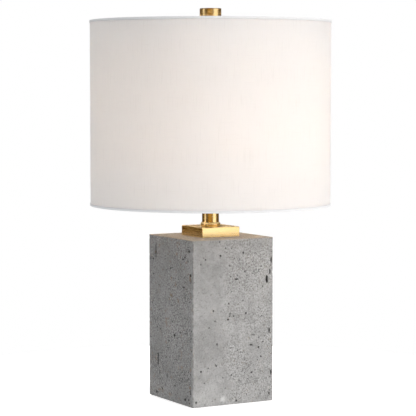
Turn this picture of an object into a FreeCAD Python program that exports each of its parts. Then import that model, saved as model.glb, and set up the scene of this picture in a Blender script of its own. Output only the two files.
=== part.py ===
"""Table lamp: a cast concrete block with a square brass plinth and a short brass neck, a turn-knob
socket with a bulb, a wire harp, and a linen drum shade held down by a cylindrical brass finial.

Millimetres, +Z up. The origin is the centre of the base on the table. The block's faces look along
+-X and +-Y, the harp lies in the XZ plane, the switch knob points to -Y and the cord leaves at +Y.
Threads are plain cylinders at their major diameter with a small running gap."""
import FreeCAD, Part
import math
import os

Vec = FreeCAD.Vector
X_AXIS = Vec(1, 0, 0)
Y_AXIS = Vec(0, 1, 0)
Z_AXIS = Vec(0, 0, 1)

# Clearances between pieces
BORE_GAP = 0.15          # a plain bore over the lamp pipe
THREAD_GAP = 0.02        # a tapped bore over its own thread
TURN_GAP = 0.05          # a shaft or bush that turns in its seat
SLIDE_GAP = 0.3          # between moving pieces that are no fit

# Concrete block and what is under it
BLOCK_SIDE = 125.3
BLOCK_BOTTOM = 0.5
BLOCK_TOP = 226.0
BLOCK_EDGE = 1.2
PAD_SIDE = 116.0
PAD_THICK = 2.0
PAD_CORNER = 4.0
PAD_MARGIN = 0.3
POCKET_R = 22.0
POCKET_TOP = 26.0
BLOCK_BORE_R = 6.5
INLET_Z = 14.0
INLET_HOLE_R = 5.2
GROMMET_BORE_R = 3.75
GROMMET_BODY_R = 5.1
GROMMET_FLANGE_R = 8.0
GROMMET_FLANGE = 2.0
GROMMET_LENGTH = 12.0

# Lamp pipe and its hardware
PIPE_R = 5.145
PIPE_BORE_R = 3.4
PIPE_BOTTOM = 13.0
WASHER_R = 17.0
WASHER_THICK = 2.0
LOCK_WASHER_R = 9.0
LOCK_WASHER_THICK = 0.9
LOCK_WASHER_ROOT_R = 6.8
LOCK_WASHER_NOTCH = 1.4
LOCK_WASHER_TEETH = 10
NUT_FLATS = 15.9
NUT_HEIGHT = 4.8
NUT_CHAMFER = 0.6
NUT_CHAMFER_HEIGHT = 1.2

# Plinth, bead and neck
PLINTH_SIDE = 58.6
PLINTH_HEIGHT = 13.4
PLINTH_WALL = 3.0
PLINTH_EDGE = 0.7
PLINTH_BOSS_R = 12.0
BEAD_R = 13.65
BEAD_HEIGHT = 5.5
BEAD_FOOT_R = 12.9
BEAD_BULGE_HEIGHT = 2.3
BEAD_SHOULDER_R = 12.2
NECK_R = 11.6
NECK_WALL = 1.2
NECK_TOP = 273.0
NECK_CAP_R = 12.6
NECK_CAP_THICK = 3.0
NECK_CAP_SPIGOT = 4.0

# Harp saddle
SADDLE_THICK = 2.0
SADDLE_WIDTH = 14.0
SADDLE_TAB_WIDTH = 5.0
SADDLE_TAB_X = 30.0
SADDLE_BEND_Z = 289.0
SADDLE_TAB_TOP = 297.0

# Socket
HUB_R = 8.0
HUB_HEIGHT = 9.0
SET_SCREW_R = 1.5
SET_SCREW_LENGTH = 5.0
SET_SCREW_SLOT = 0.6
SET_SCREW_SLOT_DEPTH = 1.0
CAP_WALL = 0.8
CAP_MOUTH_R = 18.2
CAP_SHOULDER = 5.0
CAP_HEIGHT = 12.0
SHELL_R = 17.2
SHELL_WALL = 0.6
SHELL_OVERLAP = 6.0
SHELL_TOP = 345.0
SHELL_LIP = 1.0
LINER_WALL = 0.6
LINER_GAP = 0.1
SHAFT_HOLE_GAP = 1.1
BODY_R = 14.6
BODY_HEIGHT = 19.0
BODY_FOOT = 1.0
TERMINAL_HEAD_R = 2.6
TERMINAL_HEAD = 1.4
TERMINAL_SHANK_R = 1.6
TERMINAL_SHANK = 5.0
TERMINAL_RISE = 4.0
TERMINAL_HEAD_GAP = 0.4
TERMINAL_SLOT = 0.7
TERMINAL_SLOT_DEPTH = 0.5
SCREW_SHELL_BORE_R = 13.35
SCREW_SHELL_WALL = 0.5
SCREW_SHELL_HEIGHT = 21.0
SCREW_SHELL_HOLE_R = 8.6
CONTACT_WIDTH = 5.0
CONTACT_LENGTH = 12.0
CONTACT_THICK = 0.5
SWITCH_RISE = 13.5
SHAFT_R = 1.7
ROTOR_R = 4.0
ROTOR_LENGTH = 6.0
ROTOR_NOTCH_R = 0.9
ROTOR_NOTCHES = 4
KNOB_START = 19.0
KNOB_COLLAR_R = 5.0
KNOB_COLLAR = 5.0
KNOB_COLLAR_ROUND = 1.0
KNOB_WING = 13.0
KNOB_WING_THICK = 3.2
KNOB_WING_HEIGHT = 14.0
KNOB_WING_ROUND = 1.2
SHAFT_GRIP = 9.0

# Bulb, an A19 with a medium screw cap
BULB_CAP_R = 13.15
BULB_CAP_WALL = 0.4
BULB_CAP_HEIGHT = 20.0
BULB_CAP_TAPER = 2.2
BULB_CAP_SHOULDER = 2.5
BULB_CAP_FOOT = 2.0
BULB_INSULATOR_HEIGHT = 4.0
BULB_TIP_R = 4.6
BULB_TIP_HEIGHT = 1.6
BULB_TIP_PIN_R = 2.0
BULB_TIP_PIN = 2.0
BULB_R = 30.0
BULB_NECK_R = 12.4
BULB_LENGTH = 108.0
BULB_TANGENT_DEG = -28.0
BULB_NECK_RISE = 5.0
BULB_FLARE_PULL = 0.45
BULB_GLASS_SINK = 11.0
BULB_GLASS_WALL = 0.8
STEM_R = 2.8
STEM_FLARE_R = 8.0
STEM_FLARE_HEIGHT = 12.0
STEM_HEIGHT = 30.0
PRESS_WIDTH = 12.0
PRESS_THICK = 4.0
PRESS_HEIGHT = 6.0
LEAD_R = 0.4
LEAD_FOOT_X = 4.0
LEAD_X = 8.0
FILAMENT_R = 0.45
FILAMENT_ARCH = 3.0
FILAMENT_Z_IN_BULB = 78.0

# Harp
HARP_WIRE_R = 1.75
HARP_STRAIGHT_TOP = 319.0
HARP_FLARE_R = 50.0
HARP_FLARE_DEG = 35.0
HARP_FLARE_RUN = 12.0
HARP_SIDE_R = 78.0
HARP_CLOSE_DEG = 25.0
HARP_SEAT_R = 7.5
HARP_SEAT_HEIGHT = 4.5
HARP_SEAT_PLATE = 1.6
HARP_COLLAR_R = 4.65
STUD_R = 3.15
STUD_LENGTH = 10.9
STUD_SINK = 3.0
STUD_CHAMFER = 0.5
FERRULE_R = 4.4
FERRULE_BORE_R = 3.0
FERRULE_LENGTH = 14.0
FERRULE_EDGE = 0.8
FERRULE_RISE = 1.0

# Shade
SHADE_R = 164.7
SHADE_BOTTOM = 268.8
SHADE_TOP = 520.5
FABRIC_THICK = 0.8
LINER_THICK = 0.4
RING_WIRE_R = 1.5
RING_GAP = 0.05
TRIM_THICK = 0.5
TRIM_HEIGHT = 3.4
SPIDER_DROP = 10.5
SPIDER_WIRE_R = 1.5
SPIDER_WIRE_SINK = 0.3
SPIDER_LAP = 2.0
SPIDER_BEND_R = 4.0
SPIDER_ARMS = 3
SPIDER_FIRST_DEG = 90.0
SPIDER_WASHER_R = 14.0
SPIDER_WASHER_BORE_R = 3.6
SPIDER_WASHER_THICK = 1.5

# Finial
FINIAL_R = 14.75
FINIAL_TOP = 537.5
FINIAL_EDGE = 0.6
BUSH_R = 6.0
BUSH_LENGTH = 12.0
BUSH_BORE_LENGTH = 10.5

# Levels worked out from the sizes above
PLINTH_TOP = BLOCK_TOP + PLINTH_HEIGHT
BEAD_TOP = PLINTH_TOP + BEAD_HEIGHT
NECK_CAP_TOP = NECK_TOP + NECK_CAP_THICK
SADDLE_TOP = NECK_CAP_TOP + SADDLE_THICK
NECK_NUT_TOP = SADDLE_TOP + NUT_HEIGHT
HUB_TOP = NECK_NUT_TOP + HUB_HEIGHT
PIPE_TOP = HUB_TOP - 1.0
CAP_BOTTOM = HUB_TOP - CAP_WALL
CAP_TOP = CAP_BOTTOM + CAP_HEIGHT
BODY_BOTTOM = HUB_TOP + BODY_FOOT
BODY_TOP = BODY_BOTTOM + BODY_HEIGHT
SWITCH_Z = BODY_BOTTOM + SWITCH_RISE
TIP_BOTTOM = BODY_TOP + CONTACT_THICK
INSULATOR_BOTTOM = TIP_BOTTOM + BULB_TIP_HEIGHT
BULB_CAP_BOTTOM = INSULATOR_BOTTOM + BULB_INSULATOR_HEIGHT
BULB_CAP_TOP = BULB_CAP_BOTTOM + BULB_CAP_HEIGHT
BULB_TOP = TIP_BOTTOM + BULB_LENGTH
SPIDER_WASHER_TOP = SHADE_TOP - SPIDER_DROP
SPIDER_WIRE_Z = SPIDER_WASHER_TOP - SPIDER_WIRE_SINK - SPIDER_WIRE_R
HARP_SEAT_TOP = SPIDER_WASHER_TOP - SPIDER_WASHER_THICK
HARP_TOP = HARP_SEAT_TOP - HARP_SEAT_HEIGHT


def cylinder(r, z0, z1):
    return Part.makeCylinder(r, z1 - z0, Vec(0, 0, z0))


def tube(r_out, r_in, z0, z1):
    return cylinder(r_out, z0, z1).cut(cylinder(r_in, z0 - 1, z1 + 1))


def centred_box(side_x, side_y, z0, z1):
    return Part.makeBox(side_x, side_y, z1 - z0, Vec(-side_x / 2, -side_y / 2, z0))


def edges_along(shape, direction):
    """The straight edges of a shape that run along a direction."""
    found = []
    for edge in shape.Edges:
        ends = edge.Vertexes
        if len(ends) == 2 and edge.Curve.TypeId == "Part::GeomLine":
            run = ends[1].Point - ends[0].Point
            if abs(abs(run.dot(direction)) - run.Length) < 1e-6:
                found.append(edge)
    return found


def edges_at(shape, z):
    """The edges of a shape that lie wholly at one level."""
    return [e for e in shape.Edges if abs(e.BoundBox.ZMin - z) < 1e-6 and abs(e.BoundBox.ZMax - z) < 1e-6]


def radius_at(edge):
    return edge.Curve.Radius if edge.Curve.TypeId == "Part::GeomCircle" else 0


def revolved(points):
    """A solid turned about Z from (r, z) points joined by straight lines."""
    corners = [Vec(r, 0, z) for r, z in points]
    outline = Part.makePolygon(corners + corners[:1])
    return Part.Face(outline).revolve(Vec(0, 0, 0), Z_AXIS, 360)


def revolved_edges(edges):
    """A solid turned about Z from edges that close one outline in the XZ plane."""
    return Part.Face(Part.Wire(edges)).revolve(Vec(0, 0, 0), Z_AXIS, 360)


def hexagon_nut(flats, bore_r, z0, z1):
    corner_r = flats / math.sqrt(3)
    corners = [
        Vec(corner_r * math.cos(math.radians(60 * i)), corner_r * math.sin(math.radians(60 * i)), z0)
        for i in range(6)
    ]
    blank = Part.Face(Part.makePolygon(corners + corners[:1])).extrude(Vec(0, 0, z1 - z0))
    small = corner_r - NUT_CHAMFER
    large = corner_r + NUT_CHAMFER
    low_z = z0 + NUT_CHAMFER_HEIGHT
    high_z = z1 - NUT_CHAMFER_HEIGHT
    low = Part.makeCone(small, large, NUT_CHAMFER_HEIGHT, Vec(0, 0, z0))
    high = Part.makeCone(large, small, NUT_CHAMFER_HEIGHT, Vec(0, 0, high_z))
    rounding = low.fuse([cylinder(large, low_z, high_z), high])
    return blank.common(rounding).cut(cylinder(bore_r, z0 - 1, z1 + 1))


def wire_solid(edges, r):
    """A round wire of radius r along tangent edges."""
    path = Part.Wire(edges)
    first = edges[0]
    start = first.valueAt(first.FirstParameter)
    along = first.tangentAt(first.FirstParameter)
    section = Part.Wire([Part.makeCircle(r, start, along)])
    return path.makePipeShell([section], True, True)


def arc_about(centre, r, from_deg, to_deg):
    """An arc in the XZ plane, from one angle to the other, measured from +X towards +Z."""
    def at(deg):
        return centre + Vec(r * math.cos(math.radians(deg)), 0, r * math.sin(math.radians(deg)))

    return Part.Arc(at(from_deg), at((from_deg + to_deg) / 2), at(to_deg)).toShape()


# ---- block, pad and cord inlet


def concrete_block():
    block = centred_box(BLOCK_SIDE, BLOCK_SIDE, BLOCK_BOTTOM, BLOCK_TOP)
    block = block.makeFillet(BLOCK_EDGE, block.Edges)
    recess_side = PAD_SIDE + 2 * PAD_MARGIN
    recess = centred_box(recess_side, recess_side, BLOCK_BOTTOM - 1, PAD_THICK)
    recess = recess.makeFillet(PAD_CORNER, edges_along(recess, Z_AXIS))
    pocket = cylinder(POCKET_R, 0, POCKET_TOP)
    bore = cylinder(BLOCK_BORE_R, 0, BLOCK_TOP + 1)
    inlet = Part.makeCylinder(INLET_HOLE_R, BLOCK_SIDE, Vec(0, 0, INLET_Z), Y_AXIS)
    return block.cut(recess.fuse([pocket, bore, inlet]))


def felt_base_pad():
    pad = centred_box(PAD_SIDE, PAD_SIDE, 0, PAD_THICK)
    return pad.makeFillet(PAD_CORNER, edges_along(pad, Z_AXIS))


def cord_grommet():
    face_y = BLOCK_SIDE / 2
    outer_y = face_y + GROMMET_FLANGE
    inner_y = outer_y - GROMMET_LENGTH
    flange = Part.makeCylinder(GROMMET_FLANGE_R, GROMMET_FLANGE, Vec(0, face_y, INLET_Z), Y_AXIS)
    rim = [e for e in flange.Edges if radius_at(e) and abs(e.BoundBox.YMin - outer_y) < 1e-6]
    flange = flange.makeFillet(GROMMET_FLANGE * 0.45, rim)
    sleeve = Part.makeCylinder(GROMMET_BODY_R, face_y - inner_y, Vec(0, inner_y, INLET_Z), Y_AXIS)
    bore = Part.makeCylinder(GROMMET_BORE_R, 2 * GROMMET_LENGTH, Vec(0, inner_y - 1, INLET_Z), Y_AXIS)
    return flange.fuse(sleeve).cut(bore).removeSplitter()


# ---- lamp pipe and its hardware


def lamp_pipe():
    return tube(PIPE_R, PIPE_BORE_R, PIPE_BOTTOM, PIPE_TOP)


def bottom_washer():
    return tube(WASHER_R, PIPE_R + BORE_GAP, POCKET_TOP - WASHER_THICK, POCKET_TOP)


def lock_washer():
    top = POCKET_TOP - WASHER_THICK
    ring = tube(LOCK_WASHER_R, PIPE_R + BORE_GAP, top - LOCK_WASHER_THICK, top)
    slot = centred_box(2 * LOCK_WASHER_R, LOCK_WASHER_NOTCH, top - LOCK_WASHER_THICK - 1, top + 1)
    slot.translate(Vec(LOCK_WASHER_R + LOCK_WASHER_ROOT_R, 0, 0))
    for i in range(LOCK_WASHER_TEETH):
        notch = slot.copy()
        notch.rotate(Vec(0, 0, 0), Z_AXIS, 360 / LOCK_WASHER_TEETH * i)
        ring = ring.cut(notch)
    return ring


def bottom_nut():
    top = POCKET_TOP - WASHER_THICK - LOCK_WASHER_THICK
    return hexagon_nut(NUT_FLATS, PIPE_R + THREAD_GAP, top - NUT_HEIGHT, top)


def neck_nut():
    return hexagon_nut(NUT_FLATS, PIPE_R + THREAD_GAP, SADDLE_TOP, NECK_NUT_TOP)


# ---- plinth, bead and neck


def brass_plinth():
    """A square cast cap, open underneath, with a boss around the pipe."""
    cap = centred_box(PLINTH_SIDE, PLINTH_SIDE, BLOCK_TOP, PLINTH_TOP)
    cap = cap.makeFillet(PLINTH_EDGE, edges_along(cap, Z_AXIS) + edges_at(cap, PLINTH_TOP))
    inner = PLINTH_SIDE - 2 * PLINTH_WALL
    hollow = centred_box(inner, inner, BLOCK_TOP - 1, PLINTH_TOP - PLINTH_WALL)
    boss = cylinder(PLINTH_BOSS_R, BLOCK_TOP, PLINTH_TOP - PLINTH_WALL)
    return cap.cut(hollow.cut(boss)).cut(cylinder(PIPE_R + BORE_GAP, BLOCK_TOP - 1, PLINTH_TOP + 1))


def bead_ring():
    """A ring that bulges just below its middle and draws in to the neck at its top."""
    bore_r = PIPE_R + BORE_GAP
    foot_in = Vec(bore_r, 0, PLINTH_TOP)
    foot = Vec(BEAD_FOOT_R, 0, PLINTH_TOP)
    bulge = Vec(BEAD_R, 0, PLINTH_TOP + BEAD_BULGE_HEIGHT)
    shoulder = Vec(BEAD_SHOULDER_R, 0, BEAD_TOP)
    shoulder_in = Vec(bore_r, 0, BEAD_TOP)
    return revolved_edges([
        Part.makeLine(foot_in, foot),
        Part.Arc(foot, bulge, shoulder).toShape(),
        Part.makeLine(shoulder, shoulder_in),
        Part.makeLine(shoulder_in, foot_in),
    ])


def neck_tube():
    return tube(NECK_R, NECK_R - NECK_WALL, BEAD_TOP, NECK_TOP)


def neck_cap():
    rim = cylinder(NECK_CAP_R, NECK_TOP, NECK_CAP_TOP)
    rim = rim.makeFillet(NECK_CAP_THICK / 3, [e for e in rim.Edges if radius_at(e)])
    spigot = cylinder(NECK_R - NECK_WALL - THREAD_GAP, NECK_TOP - NECK_CAP_SPIGOT, NECK_TOP + 1)
    bore = cylinder(PIPE_R + BORE_GAP, NECK_TOP - NECK_CAP_SPIGOT - 1, NECK_CAP_TOP + 1)
    return rim.fuse(spigot).cut(bore).removeSplitter()


# ---- harp saddle


def harp_saddle():
    """A flat strap across the pipe whose ends slope out at 45 degrees and turn up into two tabs."""
    half = SADDLE_THICK / 2
    mid_z = NECK_CAP_TOP + half
    flat_x = SADDLE_TAB_X - (SADDLE_BEND_Z - mid_z)
    mitre = half * math.tan(math.radians(22.5))
    right = [
        (flat_x + mitre, mid_z - half),
        (SADDLE_TAB_X + half, SADDLE_BEND_Z - mitre),
        (SADDLE_TAB_X + half, SADDLE_TAB_TOP),
        (SADDLE_TAB_X - half, SADDLE_TAB_TOP),
        (SADDLE_TAB_X - half, SADDLE_BEND_Z + mitre),
        (flat_x - mitre, mid_z + half),
    ]
    left = [(-x, z) for x, z in reversed(right)]
    corners = [Vec(x, -SADDLE_WIDTH / 2, z) for x, z in right + left]
    strap = Part.Face(Part.makePolygon(corners + corners[:1])).extrude(Y_AXIS * SADDLE_WIDTH)
    beside_tabs = centred_box(
        3 * SADDLE_TAB_X, SADDLE_WIDTH + 2, SADDLE_BEND_Z, SADDLE_TAB_TOP + 1
    ).cut(centred_box(3 * SADDLE_TAB_X, SADDLE_TAB_WIDTH, SADDLE_BEND_Z, SADDLE_TAB_TOP + 1))
    bore = cylinder(PIPE_R + BORE_GAP, NECK_CAP_TOP - 1, SADDLE_TOP + 1)
    return strap.cut(beside_tabs.fuse(bore))


# ---- socket


def socket_hub():
    hub = tube(HUB_R, PIPE_R + THREAD_GAP, NECK_NUT_TOP, CAP_BOTTOM)
    return hub.cut(set_screw_blank(SET_SCREW_R + THREAD_GAP))


def set_screw_blank(r):
    middle = Vec(HUB_R - SET_SCREW_LENGTH / 2, 0, NECK_NUT_TOP + HUB_HEIGHT / 2)
    return Part.makeCylinder(r, SET_SCREW_LENGTH, middle, X_AXIS)


def socket_set_screw():
    screw = set_screw_blank(SET_SCREW_R)
    outer_x = HUB_R + SET_SCREW_LENGTH / 2
    slot = Part.makeBox(2 * SET_SCREW_SLOT_DEPTH, 4 * SET_SCREW_R, SET_SCREW_SLOT)
    middle_z = NECK_NUT_TOP + HUB_HEIGHT / 2
    slot.translate(Vec(outer_x - SET_SCREW_SLOT_DEPTH, -2 * SET_SCREW_R, middle_z - SET_SCREW_SLOT / 2))
    return screw.cut(slot)


def socket_cap():
    """A spun cup that opens upwards: a flat floor, a round shoulder and a straight wall."""
    outer = cylinder(CAP_MOUTH_R, CAP_BOTTOM, CAP_TOP)
    outer = outer.makeFillet(CAP_SHOULDER, edges_at(outer, CAP_BOTTOM))
    inner = cylinder(CAP_MOUTH_R - CAP_WALL, CAP_BOTTOM + CAP_WALL, CAP_TOP + CAP_SHOULDER)
    inner = inner.makeFillet(CAP_SHOULDER - CAP_WALL, edges_at(inner, CAP_BOTTOM + CAP_WALL))
    bore = cylinder(PIPE_R + BORE_GAP, CAP_BOTTOM - 1, CAP_BOTTOM + CAP_WALL + 1)
    return outer.cut(inner).cut(bore)


def socket_shell():
    """The thin outer can, with a rolled lip at its mouth and a hole for the switch shaft."""
    z0 = CAP_TOP - SHELL_OVERLAP
    can = tube(SHELL_R, SHELL_R - SHELL_WALL, z0, SHELL_TOP)
    lip = Part.makeTorus(SHELL_R - SHELL_WALL / 2, SHELL_LIP, Vec(0, 0, SHELL_TOP))
    return can.fuse(lip).cut(shaft_hole())


def shaft_hole():
    return Part.makeCylinder(SHAFT_R + SHAFT_HOLE_GAP, 2 * SHELL_R, Vec(0, 0, SWITCH_Z), Y_AXIS * -1)


def socket_liner():
    r = SHELL_R - SHELL_WALL - LINER_GAP
    sleeve = tube(r, r - LINER_WALL, BODY_BOTTOM + 2, SHELL_TOP - 3)
    return sleeve.cut(shaft_hole())


def terminal_places():
    return [(side, Vec(side * BODY_R, 0, BODY_BOTTOM + TERMINAL_RISE)) for side in (-1, 1)]


def socket_body():
    """The moulded insulator: it holds the terminals, the switch and the screw shell."""
    body = cylinder(BODY_R, BODY_BOTTOM, BODY_TOP)
    for side, place in terminal_places():
        under = place - X_AXIS * (side * TERMINAL_HEAD)
        outwards = X_AXIS * side
        head = Part.makeCylinder(TERMINAL_HEAD_R + TERMINAL_HEAD_GAP, 2 * TERMINAL_HEAD, under, outwards)
        shank_length = TERMINAL_SHANK + TERMINAL_HEAD
        shank = Part.makeCylinder(TERMINAL_SHANK_R + THREAD_GAP, shank_length, place, X_AXIS * -side)
        body = body.cut(head.fuse(shank))
    shaft = Part.makeCylinder(SHAFT_R + TURN_GAP, BODY_R + 1, Vec(0, 0, SWITCH_Z), Y_AXIS * -1)
    half = ROTOR_LENGTH / 2 + SLIDE_GAP
    rotor = Part.makeCylinder(ROTOR_R + SLIDE_GAP, 2 * half, Vec(0, half, SWITCH_Z), Y_AXIS * -1)
    return body.cut(shaft.fuse(rotor))


def terminal_screws():
    screws = []
    for side, place in terminal_places():
        under = place - X_AXIS * (side * TERMINAL_HEAD)
        head = Part.makeCylinder(TERMINAL_HEAD_R, TERMINAL_HEAD, under, X_AXIS * side)
        shank = Part.makeCylinder(TERMINAL_SHANK_R, TERMINAL_SHANK, under, X_AXIS * -side)
        slot = Part.makeBox(2 * TERMINAL_SLOT_DEPTH, 3 * TERMINAL_HEAD_R, TERMINAL_SLOT)
        slot.translate(place - Vec(TERMINAL_SLOT_DEPTH, 1.5 * TERMINAL_HEAD_R, TERMINAL_SLOT / 2))
        screws.append(head.fuse(shank).cut(slot))
    return Part.makeCompound(screws)


def screw_shell():
    """The threaded cup that takes the bulb, standing on the socket body."""
    outer_r = SCREW_SHELL_BORE_R + SCREW_SHELL_WALL
    cup = tube(outer_r, SCREW_SHELL_BORE_R, BODY_TOP, BODY_TOP + SCREW_SHELL_HEIGHT)
    foot = tube(outer_r, SCREW_SHELL_HOLE_R, BODY_TOP, BODY_TOP + SCREW_SHELL_WALL)
    return cup.fuse(foot).removeSplitter()


def centre_contact():
    return centred_box(CONTACT_LENGTH, CONTACT_WIDTH, BODY_TOP, BODY_TOP + CONTACT_THICK)


def switch_rotor():
    half = ROTOR_LENGTH / 2
    cam = Part.makeCylinder(ROTOR_R, ROTOR_LENGTH, Vec(0, half, SWITCH_Z), Y_AXIS * -1)
    for i in range(ROTOR_NOTCHES):
        angle = math.radians(360 / ROTOR_NOTCHES * (i + 0.5))
        place = Vec(ROTOR_R * math.cos(angle), half + 1, SWITCH_Z + ROTOR_R * math.sin(angle))
        cam = cam.cut(Part.makeCylinder(ROTOR_NOTCH_R, ROTOR_LENGTH + 2, place, Y_AXIS * -1))
    return cam.cut(Part.makeCylinder(SHAFT_R, ROTOR_LENGTH / 2, Vec(0, 0, SWITCH_Z), Y_AXIS * -1))


def switch_shaft():
    length = KNOB_START + SHAFT_GRIP
    return Part.makeCylinder(SHAFT_R, length, Vec(0, 0, SWITCH_Z), Y_AXIS * -1)


def turn_knob():
    """A round collar with a flat wing for finger and thumb."""
    start = Vec(0, -KNOB_START, SWITCH_Z)
    collar = Part.makeCylinder(KNOB_COLLAR_R, KNOB_COLLAR, start, Y_AXIS * -1)
    rim = [e for e in collar.Edges if abs(e.BoundBox.YMax + KNOB_START + KNOB_COLLAR) < 1e-6]
    collar = collar.makeFillet(KNOB_COLLAR_ROUND, rim)
    wing_end = -KNOB_START - KNOB_COLLAR - KNOB_WING + 1
    wing = Part.makeBox(KNOB_WING_THICK, KNOB_WING, KNOB_WING_HEIGHT)
    wing.translate(Vec(-KNOB_WING_THICK / 2, wing_end, SWITCH_Z - KNOB_WING_HEIGHT / 2))
    wing = wing.makeFillet(KNOB_WING_ROUND, wing.Edges)
    hole = Part.makeCylinder(SHAFT_R, SHAFT_GRIP, start, Y_AXIS * -1)
    return collar.fuse(wing).cut(hole).removeSplitter()


# ---- bulb


def bulb_contact():
    tip = cylinder(BULB_TIP_R, TIP_BOTTOM, INSULATOR_BOTTOM)
    tip = tip.makeFillet(BULB_TIP_HEIGHT * 0.6, edges_at(tip, TIP_BOTTOM))
    pin = cylinder(BULB_TIP_PIN_R, INSULATOR_BOTTOM - 0.5, INSULATOR_BOTTOM + BULB_TIP_PIN)
    return tip.fuse(pin).removeSplitter()


def bulb_insulator():
    low_r = BULB_TIP_R + 0.6
    high_r = BULB_CAP_R - BULB_CAP_TAPER
    cone = Part.makeCone(low_r, high_r, BULB_INSULATOR_HEIGHT, Vec(0, 0, INSULATOR_BOTTOM))
    seat_top = INSULATOR_BOTTOM + BULB_TIP_PIN + TURN_GAP
    return cone.cut(cylinder(BULB_TIP_PIN_R + TURN_GAP, INSULATOR_BOTTOM - 1, seat_top))


def bulb_cap():
    inner_r = BULB_CAP_R - BULB_CAP_WALL
    foot_r = BULB_CAP_R - BULB_CAP_TAPER
    shoulder = BULB_CAP_BOTTOM + BULB_CAP_SHOULDER
    return revolved([
        (foot_r - BULB_CAP_FOOT, BULB_CAP_BOTTOM),
        (foot_r, BULB_CAP_BOTTOM),
        (BULB_CAP_R, shoulder),
        (BULB_CAP_R, BULB_CAP_TOP),
        (inner_r, BULB_CAP_TOP),
        (inner_r, shoulder + BULB_CAP_WALL / 2),
        (foot_r - BULB_CAP_WALL, BULB_CAP_BOTTOM + BULB_CAP_WALL),
        (foot_r - BULB_CAP_FOOT, BULB_CAP_BOTTOM + BULB_CAP_WALL),
    ])


def bulb_outline(inset):
    """The envelope as a closed outline in the XZ plane, moved inwards by inset: neck, flare and ball."""
    r = BULB_R - inset
    neck_r = BULB_NECK_R - inset
    centre = Vec(0, 0, BULB_TOP - BULB_R)
    z0 = BULB_CAP_TOP - BULB_GLASS_SINK + inset
    tangent = math.radians(BULB_TANGENT_DEG)
    touch = centre + Vec(r * math.cos(tangent), 0, r * math.sin(tangent))
    neck_top = Vec(neck_r, 0, BULB_CAP_TOP + BULB_NECK_RISE)
    heading = Vec(math.sin(tangent), 0, -math.cos(tangent))
    reach = (neck_top - touch).Length * BULB_FLARE_PULL
    flare = Part.BezierCurve()
    flare.setPoles([touch, touch + heading * reach, neck_top + Z_AXIS * reach, neck_top])
    ball = arc_about(centre, r, 90, BULB_TANGENT_DEG)
    foot = Vec(neck_r, 0, z0)
    axis_foot = Vec(0, 0, z0)
    return [
        ball,
        flare.toShape(),
        Part.makeLine(neck_top, foot),
        Part.makeLine(foot, axis_foot),
        Part.makeLine(axis_foot, centre + Z_AXIS * r),
    ]


def bulb_glass():
    outer = revolved_edges(bulb_outline(0))
    return outer.cut(revolved_edges(bulb_outline(BULB_GLASS_WALL)))


def bulb_floor():
    return BULB_CAP_TOP - BULB_GLASS_SINK + BULB_GLASS_WALL


def bulb_stem():
    """The stem flares onto the bulb's floor and ends in the flat press that holds the lead wires."""
    z0 = bulb_floor()
    top = z0 + STEM_HEIGHT
    flare = Part.makeCone(STEM_FLARE_R, STEM_R, STEM_FLARE_HEIGHT, Vec(0, 0, z0))
    column = cylinder(STEM_R, z0 + STEM_FLARE_HEIGHT, top)
    press = centred_box(PRESS_WIDTH, PRESS_THICK, top - 1, top + PRESS_HEIGHT)
    return flare.fuse([column, press]).removeSplitter()


def filament_z():
    return TIP_BOTTOM + FILAMENT_Z_IN_BULB


def bulb_lead_wires():
    z0 = bulb_floor() + STEM_HEIGHT + PRESS_HEIGHT
    wires = []
    for side in (-1, 1):
        foot = Vec(side * LEAD_FOOT_X, 0, z0)
        head = Vec(side * LEAD_X, 0, filament_z())
        wire = Part.makeCylinder(LEAD_R, (head - foot).Length, foot, head - foot)
        wires.append(wire.cut(bulb_stem()))
    return Part.makeCompound(wires)


def bulb_filament():
    """The coiled filament as a thin round bar that arches between the lead wires."""
    middle = Vec(0, 0, filament_z() + LEAD_R + FILAMENT_R)
    left = middle - X_AXIS * LEAD_X
    right = middle + X_AXIS * LEAD_X
    return wire_solid([Part.Arc(left, middle + Z_AXIS * FILAMENT_ARCH, right).toShape()], FILAMENT_R)


# ---- harp


def harp_half_path():
    """The right half of the harp's centre line, from its foot on the tab up to the top of the bow."""
    flare = math.radians(HARP_FLARE_DEG)
    close = math.radians(HARP_CLOSE_DEG)
    foot = Vec(SADDLE_TAB_X, 0, SADDLE_TAB_TOP)
    straight = Vec(SADDLE_TAB_X, 0, HARP_STRAIGHT_TOP)
    flare_centre = straight + X_AXIS * HARP_FLARE_R
    flare_arc = arc_about(flare_centre, HARP_FLARE_R, 180, 180 - HARP_FLARE_DEG)
    flared = flare_arc.Vertexes[-1].Point
    run_end = flared + Vec(math.sin(flare), 0, math.cos(flare)) * HARP_FLARE_RUN
    side_centre = run_end + Vec(-math.cos(flare), 0, math.sin(flare)) * HARP_SIDE_R
    side_arc = arc_about(side_centre, HARP_SIDE_R, -HARP_FLARE_DEG, HARP_CLOSE_DEG)
    shoulder = side_centre + Vec(math.cos(close), 0, math.sin(close)) * HARP_SIDE_R
    # the run towards the top has the length that brings the last arc to the bow's top at x = 0
    top_gain = (1 - math.sin(close)) / math.cos(close)
    rise_left = HARP_TOP - HARP_WIRE_R - shoulder.z - shoulder.x * top_gain
    run = rise_left / (math.cos(close) - math.sin(close) * top_gain)
    turn_in = shoulder + Vec(-math.sin(close), 0, math.cos(close)) * run
    crown_r = turn_in.x / math.cos(close)
    crown_centre = Vec(0, 0, turn_in.z - crown_r * math.sin(close))
    crown_arc = arc_about(crown_centre, crown_r, HARP_CLOSE_DEG, 90)
    return [
        Part.makeLine(foot, straight),
        flare_arc,
        Part.makeLine(flared, run_end),
        side_arc,
        Part.makeLine(shoulder, turn_in),
        crown_arc,
    ]


def harp_bow():
    right = wire_solid(harp_half_path(), HARP_WIRE_R)
    left = right.mirror(Vec(0, 0, 0), X_AXIS)
    bow = right.fuse(left)
    return bow.cut(harp_seat())


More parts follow.
